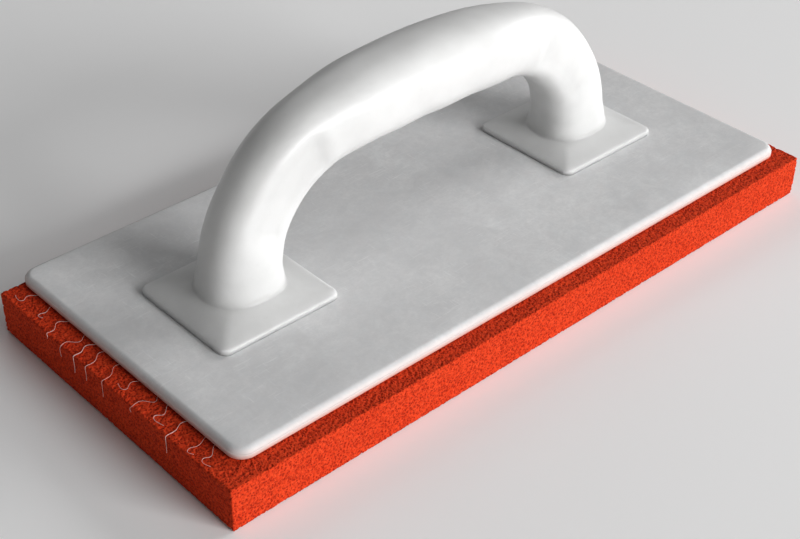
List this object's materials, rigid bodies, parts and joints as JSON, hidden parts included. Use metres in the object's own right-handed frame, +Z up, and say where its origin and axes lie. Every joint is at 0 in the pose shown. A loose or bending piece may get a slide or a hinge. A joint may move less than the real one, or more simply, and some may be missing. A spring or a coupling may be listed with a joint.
{
  "type": "sponge rubber hand float",
  "caption": "Rectangular hand float with a bonded cellular rubber face, thin plastic base plate and arched bow handle on square feet.",
  "frame": {"origin": "centre of the rubber's working face", "axes": "+X along the float's length, +Y across it, +Z up from the working face to the handle"},
  "size_m": [0.28, 0.1318, 0.0924],
  "materials": {
    "sponge_rubber": "open-cell orange-red rubber, matt",
    "adhesive": "dried contact adhesive, satin",
    "plate_plastic": "off-white moulded plastic, scuffed satin",
    "handle_plastic": "white moulded plastic, satin",
    "screw_steel": "zinc plated"
  },
  "bodies": {
    "root": {"sponge_pad": "sponge_rubber", "adhesive_layer": "adhesive", "base_plate": "plate_plastic", "handle": "handle_plastic", "handle_screw_1": "screw_steel", "handle_screw_2": "screw_steel", "handle_screw_3": "screw_steel", "handle_screw_4": "screw_steel"}
  },
  "joints": []
}
